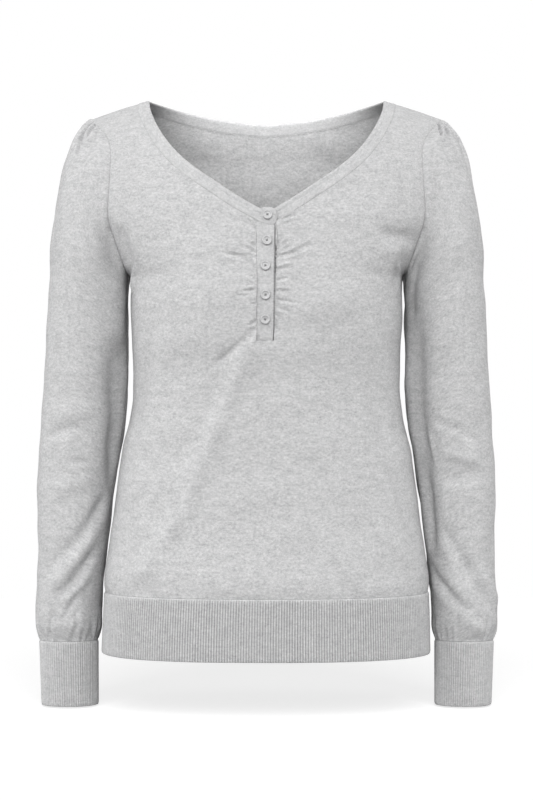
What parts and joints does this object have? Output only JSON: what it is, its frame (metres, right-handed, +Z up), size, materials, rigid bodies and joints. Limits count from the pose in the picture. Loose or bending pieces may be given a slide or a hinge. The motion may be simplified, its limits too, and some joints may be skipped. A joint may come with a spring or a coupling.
{
  "type": "sweater",
  "caption": "Light grey fine-knit pullover with a wide V neck, buttoned placket, long sleeves gathered at the cap, and ribbed hem and cuffs, in its hollow worn shape.",
  "frame": {"origin": "between the wearer's shoulders, in the middle of the width, on the line of the shoulder seams at the height of the neck's highest points", "axes": "+Z up, the front faces -Y, +X towards the wearer's left"},
  "size_m": [0.4913, 0.2257, 0.6392],
  "materials": {
    "jersey": "matte heather knit",
    "rib": "matte ribbed knit",
    "binding": "matte heather knit, two layers",
    "button": "satin"
  },
  "bodies": {
    "root": {"front": "jersey", "back": "jersey", "sleeve_left": "jersey", "sleeve_right": "jersey", "cuff_left": "rib", "cuff_right": "rib", "hem_band": "rib", "neckband": "binding", "placket_upper": "binding", "placket_under": "binding", "button_1": "button", "button_2": "button", "button_3": "button", "button_4": "button", "button_5": "button"}
  },
  "joints": []
}
